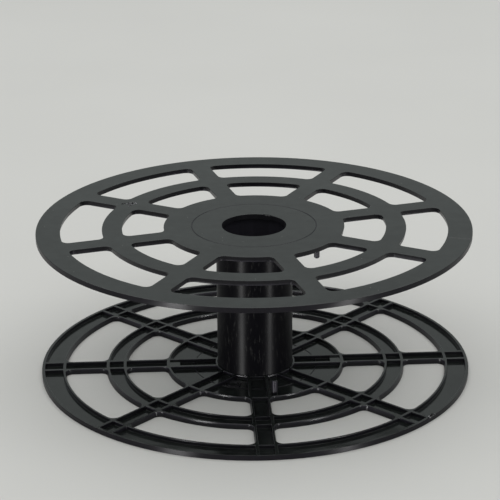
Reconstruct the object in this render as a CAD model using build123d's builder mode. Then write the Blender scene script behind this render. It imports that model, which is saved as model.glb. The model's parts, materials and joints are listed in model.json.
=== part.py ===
"""Storage reel for string lights: two ribbed moulded flanges on a plain tube.

The reel stands on its lower flange. The origin is the centre of the bottom face, +Z runs
up the bore, and half of the lower flange's spokes lie on the X and Y axes. Millimetres.
"""
import os

from build123d import *

# Flange, one moulding that is used twice
flange_diameter = 290.0
flange_thickness = 3.5
web_thickness = 1.0
rib_width = 2.0
bore_diameter = 43.0
rim_band_width = 16.25
outer_window_width = 27.5
middle_ring_width = 13.5
inner_window_width = 27.5
spoke_count = 8
spoke_width = 13.8
window_corner_radius = 4.5
window_draft = 11.0

# Moulded details of the flange
peg_diameter = 3.7
peg_height = 8.0
peg_tip_chamfer = 0.8
peg_inset = 8.0
peg_angle = 281.2
pad_count = 4
pad_length = 7.0
pad_height = 1.5

# Barrel, with the collar and spigot that hold each of its ends
barrel_diameter = 51.0
barrel_wall = 2.5
barrel_length = 100.0
barrel_clearance = 0.15
collar_width = 1.3
spigot_height = 2.8

# The upper flange is turned over, then turned on the axis by this angle
upper_flange_turn = -120.3

rim_radius = flange_diameter / 2
rim_inner_radius = rim_radius - rim_band_width
ring_outer_radius = rim_inner_radius - outer_window_width
ring_inner_radius = ring_outer_radius - middle_ring_width
hub_radius = ring_inner_radius - inner_window_width
barrel_radius = barrel_diameter / 2
collar_inner_radius = barrel_radius + barrel_clearance
collar_outer_radius = collar_inner_radius + collar_width
spigot_radius = barrel_radius - barrel_wall - barrel_clearance
rib_height = flange_thickness - web_thickness
channel_width = spoke_width - 2 * rib_width
reel_height = barrel_length + 2 * web_thickness

# Rings of the flange from the rim inwards, each as its outer and inner radius
rim_pocket = (rim_radius - rib_width, rim_inner_radius + rib_width)
outer_windows = (rim_inner_radius, ring_outer_radius)
ring_pocket = (ring_outer_radius - rib_width, ring_inner_radius + rib_width)
inner_windows = (ring_inner_radius, hub_radius)
hub_pocket = (hub_radius - rib_width, collar_outer_radius)
barrel_seat = (collar_inner_radius, spigot_radius)


def draw_rings(rings, mode=Mode.ADD):
    """Add concentric rings, listed from the largest to the smallest, to the open sketch."""
    with BuildSketch(mode=Mode.PRIVATE) as drawing:
        for outer_radius, inner_radius in rings:
            Circle(outer_radius)
            Circle(inner_radius, mode=Mode.SUBTRACT)
    add(drawing.sketch, mode=mode)


def draw_spokes(width, mode):
    """Add or remove a strip of the given width along each spoke, in the open sketch."""
    with BuildSketch(mode=Mode.PRIVATE) as drawing:
        with PolarLocations(rim_radius / 2, spoke_count):
            Rectangle(rim_radius, width)
    add(drawing.sketch, mode=mode)


with BuildPart() as lower_flange:
    with BuildSketch():
        Circle(rim_radius)
    extrude(amount=flange_thickness)

    # Windows right through, between the spokes, that widen towards the ribbed face
    with BuildSketch() as windows:
        draw_rings([outer_windows, inner_windows])
        draw_spokes(spoke_width, Mode.SUBTRACT)
        fillet(windows.vertices(), window_corner_radius)
    extrude(amount=flange_thickness, taper=-window_draft, mode=Mode.SUBTRACT)

    # Pockets in the inner face, which leave a thin web with a rib along each edge
    with BuildSketch(Plane.XY.offset(web_thickness)):
        draw_rings([rim_pocket, ring_pocket, hub_pocket])
        draw_spokes(spoke_width, Mode.SUBTRACT)
    extrude(amount=rib_height, mode=Mode.SUBTRACT)

    # Channels along the spokes, crossed by the round ribs
    with BuildSketch(Plane.XY.offset(web_thickness)):
        draw_rings([rim_pocket, outer_windows, ring_pocket, inner_windows, hub_pocket])
        draw_spokes(channel_width, Mode.INTERSECT)
    extrude(amount=rib_height, mode=Mode.SUBTRACT)

    # Pads across some of the channels, just inside the hub's rib
    with BuildSketch(Plane.XY.offset(web_thickness)):
        with PolarLocations(hub_pocket[0] + (rib_width - pad_length) / 2, pad_count):
            Rectangle(pad_length + rib_width, channel_width + rib_width)
    extrude(amount=pad_height)

    # Seat for the end of the barrel, between the collar and the spigot
    with BuildSketch(Plane.XY.offset(web_thickness)):
        draw_rings([barrel_seat])
    extrude(amount=rib_height, mode=Mode.SUBTRACT)
    with BuildSketch(Plane.XY.offset(web_thickness)):
        Circle(spigot_radius)
    extrude(amount=spigot_height)
    with BuildSketch():
        Circle(bore_diameter / 2)
    extrude(amount=web_thickness + spigot_height, mode=Mode.SUBTRACT)

    # Peg that the end of the light string is hooked behind
    with BuildSketch(Plane.XY.offset(web_thickness)):
        with PolarLocations(hub_radius - peg_inset, 1, start_angle=peg_angle):
            Circle(peg_diameter / 2)
    extrude(amount=rib_height + peg_height)
    chamfer(lower_flange.edges().group_by(Axis.Z)[-1], peg_tip_chamfer)

with BuildPart() as barrel:
    with BuildSketch(Plane.XY.offset(web_thickness)):
        Circle(barrel_radius)
        Circle(barrel_radius - barrel_wall, mode=Mode.SUBTRACT)
    extrude(amount=barrel_length)

# The same moulding with its smooth face up
turned_over = Plane(
    origin=(0, 0, reel_height),
    x_dir=Vector(1, 0, 0).rotate(Axis.Z, upper_flange_turn),
    z_dir=(0, 0, -1),
)
with BuildPart() as upper_flange:
    with Locations(turned_over.location):
        add(lower_flange.part)

lower_flange.part.label = "lower_flange"
barrel.part.label = "barrel"
upper_flange.part.label = "upper_flange"

os.makedirs("parts", exist_ok=True)
export_step(lower_flange.part, "parts/lower_flange.step")
export_step(barrel.part, "parts/barrel.step")
export_step(upper_flange.part, "parts/upper_flange.step")
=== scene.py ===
"""Storage reel for string lights: the finished look of its two moulded flanges and its tube.

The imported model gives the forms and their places. Each moulding gets softened edges, the marks
that its tool and its handling left and a moulded plastic finish, and the reel stands in a plain
pale studio. Lengths are in metres, and MM stands for one millimetre.
"""

import json
import math

import bpy
from bpy.props import FloatProperty, FloatVectorProperty, IntProperty, PointerProperty
from mathutils import Matrix, Vector

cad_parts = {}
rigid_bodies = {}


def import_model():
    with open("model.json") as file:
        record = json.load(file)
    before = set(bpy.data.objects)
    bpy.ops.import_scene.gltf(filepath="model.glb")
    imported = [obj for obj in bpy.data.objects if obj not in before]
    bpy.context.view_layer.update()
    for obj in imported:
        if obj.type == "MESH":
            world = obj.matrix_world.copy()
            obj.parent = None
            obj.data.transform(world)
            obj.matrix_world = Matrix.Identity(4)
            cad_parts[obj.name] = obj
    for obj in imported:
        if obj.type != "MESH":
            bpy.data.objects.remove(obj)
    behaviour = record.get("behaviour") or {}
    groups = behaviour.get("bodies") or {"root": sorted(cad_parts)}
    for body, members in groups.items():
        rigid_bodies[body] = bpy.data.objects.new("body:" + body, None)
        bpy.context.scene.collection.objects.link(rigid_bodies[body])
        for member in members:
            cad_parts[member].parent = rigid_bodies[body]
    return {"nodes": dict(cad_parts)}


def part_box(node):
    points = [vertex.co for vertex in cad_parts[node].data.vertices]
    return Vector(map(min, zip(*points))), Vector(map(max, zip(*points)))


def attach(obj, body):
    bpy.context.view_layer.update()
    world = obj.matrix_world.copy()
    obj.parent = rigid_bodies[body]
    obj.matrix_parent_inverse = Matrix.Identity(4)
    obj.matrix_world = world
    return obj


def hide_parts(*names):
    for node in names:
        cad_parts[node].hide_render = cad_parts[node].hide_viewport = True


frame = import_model()

bl_info = {
    "name": "String Light Reel",
    "version": (1, 0, 0),
    "blender": (4, 5, 0),
    "location": "View3D > Sidebar > Reel",
    "description": "Finishes the flanges and the tube of a storage reel for string lights",
    "category": "Object",
}

MM = 0.001
UPPER_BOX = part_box("upper_flange")
REEL_HEIGHT = UPPER_BOX[1][2]
RIM_RADIUS = UPPER_BOX[1][0]
LOWER_PIECE = "lower_flange_moulding"
TUBE_PIECE = "barrel_tube"
UPPER_PIECE = "upper_flange_moulding"
PIECES = (LOWER_PIECE, TUBE_PIECE, UPPER_PIECE)

# How the copied meshes are joined up, rounded and shaded
SEAM_GAP = 0.002 * MM
FLAT_ANGLE = math.radians(0.5)
BEVEL_ANGLE = math.radians(35.0)
SMOOTH_ANGLE = math.radians(38.0)
AREA_WEIGHT = 100

# A face counts as quite level, or as satin rather than polished, by the upright part of its
# normal, and as part of the rim wall by its distance from the rim
LEVEL_NORMAL = 0.9999
SATIN_NORMAL = 0.75
RIM_MARGIN = 0.5 * MM

# Fine rings and bars
RING_STEPS = 128
SMALL_RING_STEPS = 48
RING_GAP = 0.001 * MM
PLAIN_RING_RADII = (5.2 * MM, 3.2 * MM)
WELD_START = 130.0 * MM
WELD_END = 146.0 * MM

# Ragged lumps of the torn edge on the lower flange: name, what they do to the flange, how far
# they reach along, across and up, their shift outwards, their turn and their noise pattern
SCAR_LUMPS = (
    ("notch", "DIFFERENCE", (4.6 * MM, 1.0 * MM, 0.7 * MM), 2.2 * MM, 0.0, 3.0),
    ("pit", "DIFFERENCE", (2.6 * MM, 1.3 * MM, 0.3 * MM), -2.0 * MM, 0.0, 6.0),
    ("curl", "UNION", (3.4 * MM, 0.6 * MM, 0.7 * MM), 1.4 * MM, 0.12, 9.0),
)

# Ragged lumps of the gate mark on the upper flange: reach, shift, turn and noise pattern
GATE_LUMPS = (
    (MM * Vector((3.6, 2.6, 0.9)), MM * Vector((0.8, 0.5, 0.0)), 0.05, 12.0),
    (MM * Vector((2.4, 1.3, 0.6)), MM * Vector((-4.2, 0.8, 0.0)), 0.2, 15.0),
    (MM * Vector((1.0, 3.4, 0.6)), MM * Vector((-0.4, -2.8, 0.0)), -0.1, 18.0),
)
NICK_REACH = (3.0 * MM, 0.7 * MM, 0.6 * MM)
NICK_PATTERN = 21.0

# Noise patterns keep mostly to the middle of their range from 0 to 1
NOISE_RANGE = (0.3, 0.7)
PLASTIC_IOR = 1.49
QUARTER_TURN = 0.25

# Floor, camera and lamps
FLOOR_SIZE = 12.0
FLOOR_DROP = 0.02 * MM
SENSOR_WIDTH = 36.0
CLIP_START = 0.05
CLIP_END = 50.0
OVERHEAD_PLACE = (0.1, 0.4, 2.6)
OVERHEAD_AIM = (0.1, 0.4, 0.0)
OVERHEAD_SIZE = (4.0, 4.0)

# Low lamps at half the reel's height: name, X and Y, width, and share of the overhead power
LOW_LAMPS = (
    ("left_lamp", -1.55, -1.76, 0.36, 0.018),
    ("right_lamp", 1.56, -1.74, 0.2, 0.011),
)
LOW_LAMP_HEIGHT = 0.1
LOW_LAMP_SPREAD = math.radians(25.0)


class ReelSizes(bpy.types.PropertyGroup):
    """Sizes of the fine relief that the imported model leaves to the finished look."""

    edge_radius: FloatProperty(
        name="Edge Radius",
        description="Rounding along every edge of the flanges",
        default=0.25 * MM,
        unit="LENGTH",
    )
    tube_edge_radius: FloatProperty(
        name="Tube Edge Radius",
        description="Rounding of the tube's cut ends",
        default=0.25 * MM,
        unit="LENGTH",
    )
    edge_segments: IntProperty(
        name="Edge Segments",
        description="Steps in each rounded edge",
        default=3,
        min=1,
        max=4,
    )
    insert_radius: FloatProperty(
        name="Insert Radius",
        description="Radius of the line that the hub insert of the tool leaves on both faces",
        default=41.5 * MM,
        unit="LENGTH",
    )
    witness_width: FloatProperty(
        name="Witness Width",
        description="Width of the line round the hub's smooth face",
        default=0.85 * MM,
        unit="LENGTH",
    )
    witness_depth: FloatProperty(
        name="Witness Depth",
        description="Depth of the line round the hub's smooth face",
        default=0.4 * MM,
        unit="LENGTH",
    )
    bead_width: FloatProperty(
        name="Bead Width",
        description="Width of the flash line round the lower hub's ribbed face",
        default=0.85 * MM,
        unit="LENGTH",
    )
    bead_height: FloatProperty(
        name="Bead Height",
        description="Height of the flash line round the lower hub's ribbed face",
        default=0.4 * MM,
        unit="LENGTH",
    )
    ring_width: FloatProperty(
        name="Ring Width",
        description="Width of the two plain rings on the lower hub's ribbed face",
        default=0.6 * MM,
        unit="LENGTH",
    )
    ring_height: FloatProperty(
        name="Ring Height",
        description="Height of the two plain rings on the lower hub's ribbed face",
        default=0.6 * MM,
        unit="LENGTH",
    )
    weld_width: FloatProperty(
        name="Weld Width",
        description="Width of the line across the rim where two flows of plastic met",
        default=0.6 * MM,
        unit="LENGTH",
    )
    weld_depth: FloatProperty(
        name="Weld Depth",
        description="Depth of the line across the rim where two flows of plastic met",
        default=0.25 * MM,
        unit="LENGTH",
    )


class ReelMarks(bpy.types.PropertyGroup):
    """Places of the marks that moulding and handling left on the flanges."""

    ring_place: FloatVectorProperty(
        name="Ring Place",
        description="Middle of the two plain rings on the lower hub's ribbed face",
        subtype="TRANSLATION",
        default=(-16.8 * MM, -33.0 * MM, 1.0 * MM),
    )
    weld_turn: FloatProperty(
        name="Weld Turn",
        description="Angle of the weld line across the upper flange's rim, from the X axis",
        subtype="ANGLE",
        default=math.radians(-15.0),
    )
    gate_place: FloatVectorProperty(
        name="Gate Place",
        description="Middle of the torn gate mark on the upper flange",
        subtype="TRANSLATION",
        default=(-82.4 * MM, 48.4 * MM, REEL_HEIGHT),
    )
    nick_place: FloatVectorProperty(
        name="Nick Place",
        description="Middle of the nick in the edge of the upper flange's bore",
        subtype="TRANSLATION",
        default=(10.0 * MM, 19.0 * MM, REEL_HEIGHT),
    )
    scar_place: FloatVectorProperty(
        name="Scar Place",
        description="Middle of the torn edge on the lower flange's rim",
        subtype="TRANSLATION",
        default=(106.6 * MM, -94.4 * MM, 3.5 * MM),
    )


class ReelFinish(bpy.types.PropertyGroup):
    """Colours and surface of the black plastic."""

    face_colour: FloatVectorProperty(
        name="Flange Colour",
        description="Colour of the level faces of the flanges",
        subtype="COLOR",
        default=(0.0105, 0.0120, 0.0115),
    )
    wall_colour: FloatVectorProperty(
        name="Wall Colour",
        description="Colour of the polished window walls and rib sides",
        subtype="COLOR",
        default=(0.0110, 0.0100, 0.0135),
    )
    # Darker than the other walls: painted shade on the rim wall
    rim_painted_shade_colour: FloatVectorProperty(
        name="Rim Colour",
        description="Colour of the wall round the outside of the flanges",
        subtype="COLOR",
        default=(0.0040, 0.0036, 0.0048),
    )
    tube_colour: FloatVectorProperty(
        name="Tube Colour",
        description="Colour of the outside of the tube, and of the dark part of torn spots",
        subtype="COLOR",
        default=(0.0012, 0.0011, 0.0016),
    )
    # Far lighter than the tube's outside: painted light on the tube's inside wall
    lining_painted_light_colour: FloatVectorProperty(
        name="Lining Colour",
        description="Colour of the inside of the tube",
        subtype="COLOR",
        default=(0.024, 0.022, 0.030),
    )
    # Pale torn plastic, bright enough to serve as painted glints too
    torn_pale_and_glint_colour: FloatVectorProperty(
        name="Torn Colour",
        description="Colour of plastic that was torn and turned pale",
        subtype="COLOR",
        default=(0.5, 0.5, 0.52),
    )
    dust_colour: FloatVectorProperty(
        name="Dust Colour",
        description="Colour of the few specks on the level faces and of the rubs on the tube",
        subtype="COLOR",
        default=(0.16, 0.16, 0.15),
    )
    face_roughness: FloatProperty(
        name="Face Roughness",
        description="Roughness of the satin level faces",
        subtype="FACTOR",
        default=0.13,
        min=0.0,
        max=1.0,
    )
    wall_roughness: FloatProperty(
        name="Wall Roughness",
        description="Roughness of the upright walls of the flanges",
        subtype="FACTOR",
        default=0.36,
        min=0.0,
        max=1.0,
    )
    tube_roughness: FloatProperty(
        name="Tube Roughness",
        description="Roughness of the outside of the tube",
        subtype="FACTOR",
        default=0.47,
        min=0.0,
        max=1.0,
    )


class ReelStudio(bpy.types.PropertyGroup):
    """Camera, floor and light."""

    lens: FloatProperty(
        name="Lens",
        description="Focal length of the camera, in millimetres",
        default=145.42,
    )
    camera_place: FloatVectorProperty(
        name="Camera Place",
        description="Where the camera stands",
        subtype="TRANSLATION",
        default=(-0.06503, -1.26245, 0.56373),
    )
    camera_tilt: FloatProperty(
        name="Camera Tilt",
        description="How far the camera looks down",
        subtype="ANGLE",
        default=math.radians(20.775),
    )
    camera_turn: FloatProperty(
        name="Camera Turn",
        description="Which way the camera looks, from the Y axis",
        subtype="ANGLE",
        default=math.radians(-2.822),
    )
    camera_roll: FloatProperty(
        name="Camera Roll",
        description="How far the camera leans",
        subtype="ANGLE",
        default=math.radians(-0.531),
    )
    floor_colour: FloatVectorProperty(
        name="Floor Colour",
        description="Colour of the studio floor",
        subtype="COLOR",
        default=(0.62, 0.61, 0.59),
    )
    world_colour: FloatVectorProperty(
        name="World Colour",
        description="Colour of the soft light from all round",
        subtype="COLOR",
        default=(0.93, 1.0, 0.98),
    )
    world_strength: FloatProperty(
        name="World Strength",
        description="Strength of the soft light from all round",
        default=0.35,
        min=0.0,
    )
    lamp_power: FloatProperty(
        name="Lamp Power",
        description="Power of the overhead lamp, in watts, that the low lamps follow",
        default=77.0,
        min=0.0,
    )


class ReelSettings(bpy.types.PropertyGroup):
    """All settings of the reel."""

    sizes: PointerProperty(type=ReelSizes)
    marks: PointerProperty(type=ReelMarks)
    finish: PointerProperty(type=ReelFinish)
    studio: PointerProperty(type=ReelStudio)


def deselect_all():
    """Leave nothing selected, in object mode."""
    if bpy.context.mode != "OBJECT":
        bpy.ops.object.mode_set(mode="OBJECT")
    bpy.ops.object.select_all(action="DESELECT")


def pick(piece):
    """Select one piece alone and make it active."""
    deselect_all()
    piece.select_set(True)
    bpy.context.view_layer.objects.active = piece


def name_piece(piece, name):
    """Give a piece and its mesh the same name."""
    piece.name = name
    piece.data.name = name


def apply_place(piece):
    """Put a piece's place, turn and scale into its mesh."""
    pick(piece)
    bpy.ops.object.transform_apply(location=True, rotation=True, scale=True)


def copy_of_node(node, name):
    """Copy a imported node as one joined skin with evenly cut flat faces."""
    pick(frame["nodes"][node])
    bpy.ops.object.duplicate()
    piece = bpy.context.view_layer.objects.active
    for key in [k for k in piece.keys() if k.startswith("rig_")]:
        del piece[key]
    bpy.ops.object.parent_clear(type="CLEAR_KEEP_TRANSFORM")
    name_piece(piece, name)
    piece.data.materials.clear()
    bpy.ops.object.mode_set(mode="EDIT")
    bpy.ops.mesh.select_all(action="SELECT")
    bpy.ops.mesh.remove_doubles(threshold=SEAM_GAP)
    bpy.ops.mesh.beautify_fill(angle_limit=FLAT_ANGLE)
    bpy.ops.mesh.select_all(action="DESELECT")
    bpy.ops.object.mode_set(mode="OBJECT")
    return piece


def soften_edges(piece, radius, segments):
    """Round every sharp edge of a piece."""
    pick(piece)
    bevel = piece.modifiers.new("soft edges", "BEVEL")
    bevel.width = radius
    bevel.segments = segments
    bevel.limit_method = "ANGLE"
    bevel.angle_limit = BEVEL_ANGLE
    bevel.use_clamp_overlap = False
    bpy.ops.object.modifier_apply(modifier=bevel.name)


def smooth(piece):
    """Shade a piece smooth across its small angles, with its level faces kept flat."""
    pick(piece)
    bpy.ops.object.shade_smooth_by_angle(angle=SMOOTH_ANGLE)
    for face in piece.data.polygons:
        if abs(face.normal.z) > LEVEL_NORMAL:
            face.use_smooth = False
    weigh = piece.modifiers.new("flat faces", "WEIGHTED_NORMAL")
    weigh.keep_sharp = True
    weigh.weight = AREA_WEIGHT
    bpy.ops.object.modifier_apply(modifier=weigh.name)


def level_ring(name, centre, radius, width, height, steps=RING_STEPS):
    """Make a thin closed ring on a level plane, of a section that is pointed all four ways."""
    deselect_all()
    x, y, z = centre
    bpy.ops.mesh.primitive_circle_add(
        vertices=4, radius=width / 2, location=(x + radius, y, z), rotation=(math.pi / 2, 0.0, 0.0)
    )
    ring = bpy.context.view_layer.objects.active
    name_piece(ring, name)
    apply_place(ring)
    bpy.ops.object.mode_set(mode="EDIT")
    bpy.ops.mesh.select_all(action="SELECT")
    bpy.ops.transform.resize(
        value=(1.0, 1.0, 2.0 * height / width), center_override=(x + radius, y, z)
    )
    bpy.ops.mesh.spin(steps=steps, angle=math.tau, center=(x, y, z), axis=(0.0, 0.0, 1.0))
    bpy.ops.mesh.select_all(action="SELECT")
    bpy.ops.mesh.remove_doubles(threshold=RING_GAP)
    bpy.ops.mesh.normals_make_consistent(inside=False)
    bpy.ops.object.mode_set(mode="OBJECT")
    return ring


def straight_bar(name, start, end, width, height):
    """Make a thin bar on a level plane from one point to another, pointed as the rings are."""
    deselect_all()
    run = end - start
    bpy.ops.mesh.primitive_cylinder_add(
        vertices=4, radius=width / 2, depth=run.length, rotation=(0.0, math.pi / 2, 0.0)
    )
    bar = bpy.context.view_layer.objects.active
    name_piece(bar, name)
    apply_place(bar)
    bar.scale = (1.0, 1.0, 2.0 * height / width)
    bar.rotation_euler = (0.0, 0.0, math.atan2(run.y, run.x))
    bar.location = (start + end) / 2
    apply_place(bar)
    return bar


def ragged_lump(name, place, reach, turn, pattern):
    """Make a closed ragged lump that reaches so far each way from its place."""
    deselect_all()
    bpy.ops.mesh.primitive_ico_sphere_add(subdivisions=4, radius=1.0, location=(pattern, 0.0, 0.0))
    lump = bpy.context.view_layer.objects.active
    name_piece(lump, name)
    clouds = bpy.data.textures.new(name, "CLOUDS")
    clouds.noise_scale = 0.4
    clouds.noise_depth = 3
    push = lump.modifiers.new("ragged", "DISPLACE")
    push.texture = clouds
    push.texture_coords = "GLOBAL"
    push.strength = 0.9
    bpy.ops.object.modifier_apply(modifier=push.name)
    lump.location = place
    lump.rotation_euler = (0.0, 0.0, turn)
    lump.scale = reach
    apply_place(lump)
    return lump


def combine(piece, tool, operation, finish=None):
    """Cut a closed tool out of a piece, or join it on, and throw the tool away."""
    if finish:
        tool.data.materials.append(finish)
    pick(piece)
    change = piece.modifiers.new("change", "BOOLEAN")
    change.operation = operation
    change.solver = "EXACT"
    change.material_mode = "TRANSFER"
    change.object = tool
    bpy.ops.object.modifier_apply(modifier=change.name)
    bpy.data.objects.remove(tool)


def drop_crumbs(piece):
    """Keep the one skin of a piece, and delete the crumbs that a ragged cut left loose."""
    pick(piece)
    bpy.ops.object.mode_set(mode="EDIT")
    bpy.ops.mesh.select_all(action="DESELECT")
    bpy.ops.object.mode_set(mode="OBJECT")
    largest = max(piece.data.polygons, key=lambda face: face.area)
    for corner in largest.vertices:
        piece.data.vertices[corner].select = True
    bpy.ops.object.mode_set(mode="EDIT")
    bpy.ops.mesh.select_linked()
    bpy.ops.mesh.select_all(action="INVERT")
    bpy.ops.mesh.delete(type="VERT")
    bpy.ops.object.mode_set(mode="OBJECT")


class NodeSheet:
    """A material's node tree, with short ways to add and join nodes."""

    def __init__(self, name):
        self.material = bpy.data.materials.new(name)
        self.material.use_nodes = True
        self.nodes = self.material.node_tree.nodes
        self.links = self.material.node_tree.links
        self.shader = self.nodes["Principled BSDF"]
        self.places = self.nodes.new("ShaderNodeTexCoord")

    def join(self, source, target):
        """Link one socket to another."""
        self.links.new(source, target)

    def feed(self, name, source):
        """Link a socket to one of the shader's inputs."""
        self.join(source, self.shader.inputs[name])

    def mapping(self, scale=(1.0, 1.0, 1.0), turn=(0.0, 0.0, 0.0)):
        """Object coordinates, scaled and turned."""
        node = self.nodes.new("ShaderNodeMapping")
        node.inputs["Scale"].default_value = scale
        node.inputs["Rotation"].default_value = turn
        self.join(self.places.outputs["Object"], node.inputs["Vector"])
        return node.outputs["Vector"]

    def noise(self, vector, scale=1.0, detail=2.0, roughness=0.5):
        """A noise pattern, from 0 to 1."""
        node = self.nodes.new("ShaderNodeTexNoise")
        node.inputs["Scale"].default_value = scale
        node.inputs["Detail"].default_value = detail
        node.inputs["Roughness"].default_value = roughness
        self.join(vector, node.inputs["Vector"])
        return node.outputs["Fac"]

    def spread(self, value, low, high, to_low=0.0, to_high=1.0):
        """Map one range of values to another."""
        node = self.nodes.new("ShaderNodeMapRange")
        node.inputs["From Min"].default_value = low
        node.inputs["From Max"].default_value = high
        node.inputs["To Min"].default_value = to_low
        node.inputs["To Max"].default_value = to_high
        self.join(value, node.inputs["Value"])
        return node.outputs["Result"]

    def vary(self, pattern, middle, by):
        """A value that a noise pattern moves down and up from its middle."""
        return self.spread(pattern, *NOISE_RANGE, middle - by, middle + by)

    def maths(self, operation, first, second):
        """A maths node on two sockets."""
        node = self.nodes.new("ShaderNodeMath")
        node.operation = operation
        self.join(first, node.inputs[0])
        self.join(second, node.inputs[1])
        return node.outputs[0]

    def blend(self, factor, first, second):
        """Mix two colours, each a socket or three numbers."""
        node = self.nodes.new("ShaderNodeMix")
        node.data_type = "RGBA"
        self.join(factor, node.inputs["Factor"])
        for socket, value in ((node.inputs[6], first), (node.inputs[7], second)):
            if isinstance(value, bpy.types.NodeSocket):
                self.join(value, socket)
            else:
                socket.default_value = (*value, 1.0)
        return node.outputs[2]

    def scaled(self, colour, factor):
        """A colour made darker or lighter by a factor."""
        node = self.nodes.new("ShaderNodeVectorMath")
        node.operation = "SCALE"
        node.inputs[0].default_value = tuple(colour)
        self.join(factor, node.inputs["Scale"])
        return node.outputs[0]

    def bump(self, height, strength, distance, below=None):
        """A bump, stacked on an earlier one if there is one."""
        node = self.nodes.new("ShaderNodeBump")
        node.inputs["Strength"].default_value = strength
        node.inputs["Distance"].default_value = distance
        self.join(height, node.inputs["Height"])
        if below is not None:
            self.join(below, node.inputs["Normal"])
        return node.outputs["Normal"]

    def gloss(self, specular):
        """Set how strongly the plastic reflects."""
        self.shader.inputs["IOR"].default_value = PLASTIC_IOR
        self.shader.inputs["Specular IOR Level"].default_value = specular

    def draw_upright(self, amount):
        """Stretch the highlights of upright walls along their height."""
        facing = self.nodes.new("ShaderNodeNewGeometry")
        along = self.nodes.new("ShaderNodeVectorMath")
        along.operation = "CROSS_PRODUCT"
        along.inputs[1].default_value = (0.0, 0.0, 1.0)
        self.join(facing.outputs["Normal"], along.inputs[0])
        self.feed("Tangent", along.outputs[0])
        self.shader.inputs["Anisotropic"].default_value = amount
        self.shader.inputs["Anisotropic Rotation"].default_value = QUARTER_TURN


def satin_plastic(finish):
    """Level faces of the flanges: satin black plastic with fine grain and a little dust."""
    sheet = NodeSheet("satin_black_plastic")
    even = sheet.mapping()
    clouds = sheet.noise(even, scale=14.0, detail=3.0)
    mottle = sheet.noise(even, scale=160.0, detail=3.0)
    flow = sheet.noise(sheet.mapping((30.0, 420.0, 30.0), (0.0, 0.0, 0.35)), detail=3.0)
    tone = sheet.maths("ADD", sheet.vary(clouds, 1.0, 0.3), sheet.vary(flow, 0.0, 0.25))
    tone = sheet.maths("ADD", tone, sheet.vary(mottle, 0.0, 0.3))
    shaded = sheet.scaled(finish.face_colour, tone)

    # Round specks in the middle of a few cells, and only where the face looks up
    specks = sheet.nodes.new("ShaderNodeTexVoronoi")
    specks.inputs["Scale"].default_value = 230.0
    sheet.join(even, specks.inputs["Vector"])
    near = sheet.spread(specks.outputs["Distance"], 0.045, 0.085, to_low=1.0, to_high=0.0)
    chosen = sheet.nodes.new("ShaderNodeSeparateColor")
    sheet.join(specks.outputs["Color"], chosen.inputs[0])
    rare = sheet.spread(chosen.outputs["Red"], 0.90, 0.93)
    facing = sheet.nodes.new("ShaderNodeSeparateXYZ")
    sheet.join(sheet.places.outputs["Normal"], facing.inputs[0])
    dust = sheet.maths("MULTIPLY", near, rare)
    dust = sheet.maths("MULTIPLY", dust, sheet.spread(facing.outputs["Z"], 0.8, 0.95))
    sheet.feed("Base Color", sheet.blend(dust, shaded, finish.dust_colour))

    scuff_places = sheet.mapping((60.0, 900.0, 200.0), (0.0, 0.0, 0.9))
    scuffs = sheet.noise(scuff_places, detail=4.0, roughness=0.6)
    rough = sheet.vary(clouds, finish.face_roughness, 0.02)
    rough = sheet.maths("ADD", rough, sheet.spread(scuffs, 0.52, 0.75, to_high=0.06))
    sheet.feed("Roughness", rough)

    grain = sheet.noise(even, scale=1900.0)
    grain_bump = sheet.bump(grain, strength=0.12, distance=0.06 * MM)
    sheet.feed("Normal", sheet.bump(mottle, 0.08, 0.12 * MM, below=grain_bump))
    sheet.gloss(0.62)
    return sheet.material


def upright_plastic(name, colour, specular, finish):
    """Upright walls of the flanges, with the upright lines of a polished tool."""
    sheet = NodeSheet(name)
    even = sheet.mapping()
    clouds = sheet.noise(even, scale=60.0, detail=3.0)
    lines = sheet.noise(sheet.mapping((700.0, 700.0, 12.0)))
    tone = sheet.maths("ADD", sheet.vary(clouds, 1.0, 0.2), sheet.vary(lines, 0.0, 0.1))
    sheet.feed("Base Color", sheet.scaled(colour, tone))
    sheet.feed("Roughness", sheet.vary(clouds, finish.wall_roughness, 0.04))
    grain = sheet.noise(even, scale=1500.0)
    grain_bump = sheet.bump(grain, strength=0.1, distance=0.06 * MM)
    sheet.feed("Normal", sheet.bump(lines, 0.08, 0.08 * MM, below=grain_bump))
    sheet.gloss(specular)
    sheet.draw_upright(0.9)
    return sheet.material


def polished_plastic(finish):
    """Walls of the windows and sides of the ribs."""
    return upright_plastic("polished_black_plastic", finish.wall_colour, 0.28, finish)


def shaded_rim_plastic(finish):
    """Wall round the outside of a flange: less glossy than the other walls, and darker in colour as
    painted shade.
    """
    return upright_plastic("rim_black_painted_shade", finish.rim_painted_shade_colour, 0.15, finish)


def torn_plastic(finish):
    """Torn spots of the flanges: rough, deep black and pale by turns; the pale flecks are
    stress-whitened plastic and also painted glints.
    """
    sheet = NodeSheet("torn_black_plastic")
    fibres = sheet.noise(sheet.mapping(), scale=900.0, detail=4.0, roughness=0.7)
    # Pale flecks: stress whitening, and painted glints
    pale = sheet.spread(fibres, 0.54, 0.6)
    sheet.feed("Base Color", sheet.blend(pale, finish.tube_colour, finish.torn_pale_and_glint_colour))
    sheet.feed("Roughness", sheet.spread(fibres, *NOISE_RANGE, to_low=0.5, to_high=0.3))
    sheet.feed("Normal", sheet.bump(fibres, strength=0.6, distance=0.3 * MM))
    sheet.gloss(0.1)
    return sheet.material


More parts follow.
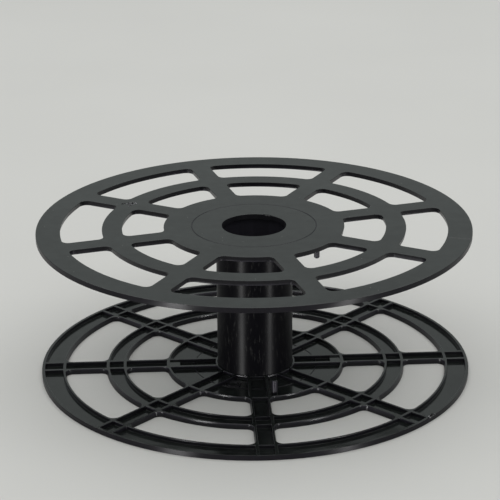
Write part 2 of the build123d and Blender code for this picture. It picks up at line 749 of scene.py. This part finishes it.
def tube_plastic(finish):
    """Outside of the tube: glossy deep black, with faint lines along it and small rubs."""
    sheet = NodeSheet("glossy_black_tube")
    clouds = sheet.noise(sheet.mapping(), scale=40.0, detail=3.0)
    lines = sheet.noise(sheet.mapping((420.0, 420.0, 5.0)), detail=3.0)
    rubs = sheet.noise(sheet.mapping((900.0, 900.0, 160.0)), detail=3.0, roughness=0.65)
    tone = sheet.maths("ADD", sheet.vary(clouds, 1.0, 0.15), sheet.vary(lines, 0.0, 0.08))
    worn = sheet.scaled(finish.tube_colour, tone)
    pale = sheet.spread(rubs, 0.58, 0.74, to_high=0.09)
    sheet.feed("Base Color", sheet.blend(pale, worn, finish.dust_colour))
    rough = sheet.vary(clouds, finish.tube_roughness, 0.03)
    rough = sheet.maths("ADD", rough, sheet.spread(rubs, 0.58, 0.75, to_high=0.14))
    sheet.feed("Roughness", rough)
    line_bump = sheet.bump(lines, strength=0.1, distance=0.10 * MM)
    sheet.feed("Normal", sheet.bump(rubs, 0.05, 0.05 * MM, below=line_bump))
    sheet.gloss(0.1)
    sheet.draw_upright(0.95)
    return sheet.material


def painted_light_lining(finish):
    """Inside of the tube: matt, with faint lines along it, and much lighter than the outside as painted
    light inside the tube.
    """
    sheet = NodeSheet("matt_black_lining_painted_light")
    lines = sheet.noise(sheet.mapping((420.0, 420.0, 5.0)), detail=3.0)
    sheet.feed("Base Color", sheet.scaled(finish.lining_painted_light_colour, sheet.vary(lines, 1.0, 0.2)))
    sheet.shader.inputs["Roughness"].default_value = 0.5
    sheet.feed("Normal", sheet.bump(lines, strength=0.1, distance=0.10 * MM))
    sheet.gloss(0.4)
    return sheet.material


def plain_floor(studio):
    """Matt floor with a trace of unevenness."""
    sheet = NodeSheet("studio_floor_paint")
    clouds = sheet.noise(sheet.mapping(), scale=3.0, detail=3.0)
    sheet.feed("Base Color", sheet.scaled(studio.floor_colour, sheet.vary(clouds, 1.0, 0.02)))
    sheet.shader.inputs["Roughness"].default_value = 0.7
    sheet.shader.inputs["Specular IOR Level"].default_value = 0.2
    return sheet.material


def material(name, make, finish):
    """Find a material or make it."""
    found = bpy.data.materials.get(name)
    return found if found else make(finish)


def start_flange(node, name, settings):
    """Copy a flange, round its edges, and cut the line round the smooth face of its hub."""
    sizes, finish = settings.sizes, settings.finish
    piece = copy_of_node(node, name)
    soften_edges(piece, sizes.edge_radius, sizes.edge_segments)
    slots = piece.data.materials
    slots.append(material("satin_black_plastic", satin_plastic, finish))
    slots.append(material("polished_black_plastic", polished_plastic, finish))
    slots.append(material("rim_black_painted_shade", shaded_rim_plastic, finish))
    smooth_face = REEL_HEIGHT if node == "upper_flange" else 0.0
    hub_centre = (0.0, 0.0, smooth_face)
    line = level_ring(
        "witness_cutter", hub_centre, sizes.insert_radius, sizes.witness_width, sizes.witness_depth
    )
    combine(piece, line, "DIFFERENCE")
    return piece


def end_flange(piece, node):
    """Give a flange's walls their material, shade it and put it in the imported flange's place."""
    drop_crumbs(piece)
    # The rim wall takes a darker copy of the wall finish, as painted shade
    satin, polished, shaded_rim = 0, 1, 2
    for face in piece.data.polygons:
        if face.material_index == satin and abs(face.normal.z) < SATIN_NORMAL:
            on_rim = math.hypot(face.center.x, face.center.y) > RIM_RADIUS - RIM_MARGIN
            face.material_index = shaded_rim if on_rim else polished
    smooth(piece)
    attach(piece, "root")
    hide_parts(node)


class REEL_OT_lower_flange(bpy.types.Operator):
    """Finish the lower flange, which lies with its ribs up"""

    bl_idname = "reel.lower_flange"
    bl_label = "Lower Flange"

    def execute(self, context):
        settings = context.scene.reel
        sizes, marks = settings.sizes, settings.marks
        piece = start_flange("lower_flange", LOWER_PIECE, settings)
        torn = material("torn_black_plastic", torn_plastic, settings.finish)

        ring_centre = Vector(marks.ring_place)
        hub_centre = (0.0, 0.0, ring_centre.z)
        flash = level_ring(
            "flash_line", hub_centre, sizes.insert_radius, sizes.bead_width, sizes.bead_height
        )
        combine(piece, flash, "UNION")
        for radius in PLAIN_RING_RADII:
            ring = level_ring(
                "plain_ring", ring_centre, radius, sizes.ring_width, sizes.ring_height, SMALL_RING_STEPS
            )
            combine(piece, ring, "UNION")

        scar = Vector(marks.scar_place)
        along = math.atan2(scar.y, scar.x) + math.pi / 2
        outward = Vector((math.cos(along - math.pi / 2), math.sin(along - math.pi / 2), 0.0))
        for name, operation, reach, shift, turn, pattern in SCAR_LUMPS:
            lump = ragged_lump(name, scar + shift * outward, reach, along + turn, pattern)
            combine(piece, lump, operation, torn)
        end_flange(piece, "lower_flange")
        return {"FINISHED"}


class REEL_OT_upper_flange(bpy.types.Operator):
    """Finish the upper flange, which lies with its smooth face up"""

    bl_idname = "reel.upper_flange"
    bl_label = "Upper Flange"

    def execute(self, context):
        settings = context.scene.reel
        sizes, marks = settings.sizes, settings.marks
        piece = start_flange("upper_flange", UPPER_PIECE, settings)
        torn = material("torn_black_plastic", torn_plastic, settings.finish)

        across = Vector((math.cos(marks.weld_turn), math.sin(marks.weld_turn), 0.0))
        face = Vector((0.0, 0.0, REEL_HEIGHT))
        start, end = face + WELD_START * across, face + WELD_END * across
        weld = straight_bar("weld_line", start, end, sizes.weld_width, sizes.weld_depth)
        combine(piece, weld, "DIFFERENCE")

        gate = Vector(marks.gate_place)
        for reach, shift, turn, pattern in GATE_LUMPS:
            tear = ragged_lump("gate_tear", gate + shift, reach, turn, pattern)
            combine(piece, tear, "DIFFERENCE", torn)

        nick = Vector(marks.nick_place)
        along = math.atan2(nick.y, nick.x) + math.pi / 2
        chip = ragged_lump("nick", nick, NICK_REACH, along, NICK_PATTERN)
        combine(piece, chip, "DIFFERENCE")
        end_flange(piece, "upper_flange")
        return {"FINISHED"}


class REEL_OT_tube(bpy.types.Operator):
    """Finish the tube between the flanges"""

    bl_idname = "reel.tube"
    bl_label = "Tube"

    def execute(self, context):
        settings = context.scene.reel
        sizes, finish = settings.sizes, settings.finish
        piece = copy_of_node("barrel", TUBE_PIECE)
        soften_edges(piece, sizes.tube_edge_radius, sizes.edge_segments)
        smooth(piece)
        piece.data.materials.append(material("glossy_black_tube", tube_plastic, finish))
        # The inside faces take the lighter lining, as painted light
        piece.data.materials.append(material("matt_black_lining_painted_light", painted_light_lining, finish))
        outside, inside = 0, 1
        for face in piece.data.polygons:
            faces_axis = face.normal.x * face.center.x + face.normal.y * face.center.y < 0.0
            face.material_index = inside if faces_axis else outside
        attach(piece, "root")
        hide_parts("barrel")
        return {"FINISHED"}


def soft_lamp(name, place, aim, size, power):
    """Hang a soft lamp of a width and a height at a place, turned to what it lights."""
    deselect_all()
    bpy.ops.object.light_add(type="AREA", location=place)
    lamp = bpy.context.view_layer.objects.active
    lamp.name = name
    lamp.data.name = name
    lamp.data.shape = "RECTANGLE"
    lamp.data.size = size[0]
    lamp.data.size_y = size[1]
    lamp.data.energy = power
    lamp.rotation_euler = (Vector(aim) - Vector(place)).to_track_quat("-Z", "Y").to_euler()
    return lamp


class REEL_OT_studio(bpy.types.Operator):
    """Set up the plain pale studio and the camera"""

    bl_idname = "reel.studio"
    bl_label = "Studio"

    def execute(self, context):
        studio = context.scene.reel.studio
        scene = context.scene
        deselect_all()
        bpy.ops.mesh.primitive_plane_add(size=FLOOR_SIZE, location=(0.0, 0.0, -FLOOR_DROP))
        floor = context.view_layer.objects.active
        name_piece(floor, "studio_floor")
        apply_place(floor)
        floor.data.materials.append(plain_floor(studio))

        world = bpy.data.worlds.new("studio_world")
        world.use_nodes = True
        back = world.node_tree.nodes["Background"]
        back.inputs["Color"].default_value = (*studio.world_colour, 1.0)
        back.inputs["Strength"].default_value = studio.world_strength
        scene.world = world

        power = studio.lamp_power
        soft_lamp("overhead_lamp", OVERHEAD_PLACE, OVERHEAD_AIM, OVERHEAD_SIZE, power)
        # The low lamps draw the highlights of the upright walls, and leave the floor alone
        reel = bpy.data.collections.new("lit_by_low_lamps")
        for name in PIECES:
            reel.objects.link(bpy.data.objects[name])
        low = REEL_HEIGHT / 2
        for name, x, y, width, share in LOW_LAMPS:
            size = (width, LOW_LAMP_HEIGHT)
            lamp = soft_lamp(name, (x, y, low), (0.0, 0.0, low), size, share * power)
            lamp.data.spread = LOW_LAMP_SPREAD
            lamp.visible_camera = False
            lamp.light_linking.receiver_collection = reel

        deselect_all()
        bpy.ops.object.camera_add(location=studio.camera_place)
        camera = context.view_layer.objects.active
        camera.name = "photo_camera"
        camera.data.sensor_width = SENSOR_WIDTH
        camera.data.lens = studio.lens
        turn = Matrix.Rotation(studio.camera_turn, 4, "Z")
        tilt = Matrix.Rotation(math.pi / 2 - studio.camera_tilt, 4, "X")
        roll = Matrix.Rotation(studio.camera_roll, 4, "Z")
        camera.rotation_euler = (turn @ tilt @ roll).to_euler()
        camera.data.clip_start = CLIP_START
        camera.data.clip_end = CLIP_END
        scene.camera = camera
        scene.view_settings.view_transform = "Standard"
        return {"FINISHED"}


class REEL_PT_panel(bpy.types.Panel):
    """The reel's settings and its steps, in order"""

    bl_idname = "REEL_PT_panel"
    bl_label = "String Light Reel"
    bl_space_type = "VIEW_3D"
    bl_region_type = "UI"
    bl_category = "Reel"

    def draw(self, context):
        settings = context.scene.reel
        for title in ReelSettings.__annotations__:
            group = getattr(settings, title)
            box = self.layout.box()
            box.label(text=title.capitalize())
            for name in type(group).__annotations__:
                box.prop(group, name)
        column = self.layout.column(align=True)
        for step in STEPS:
            column.operator(step.bl_idname)


STEPS = (
    REEL_OT_lower_flange,
    REEL_OT_tube,
    REEL_OT_upper_flange,
    REEL_OT_studio,
)
CLASSES = (ReelSizes, ReelMarks, ReelFinish, ReelStudio, ReelSettings, *STEPS, REEL_PT_panel)


def register():
    """Add the classes and the scene's reel settings."""
    for cls in CLASSES:
        bpy.utils.register_class(cls)
    bpy.types.Scene.reel = PointerProperty(type=ReelSettings)


def unregister():
    """Take the classes and the settings away."""
    del bpy.types.Scene.reel
    for cls in reversed(CLASSES):
        bpy.utils.unregister_class(cls)


def main():
    """Register the classes and run every step."""
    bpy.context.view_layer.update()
    register()
    bpy.ops.reel.lower_flange()
    bpy.ops.reel.tube()
    bpy.ops.reel.upper_flange()
    bpy.ops.reel.studio()


if __name__ == "__main__":
    main()
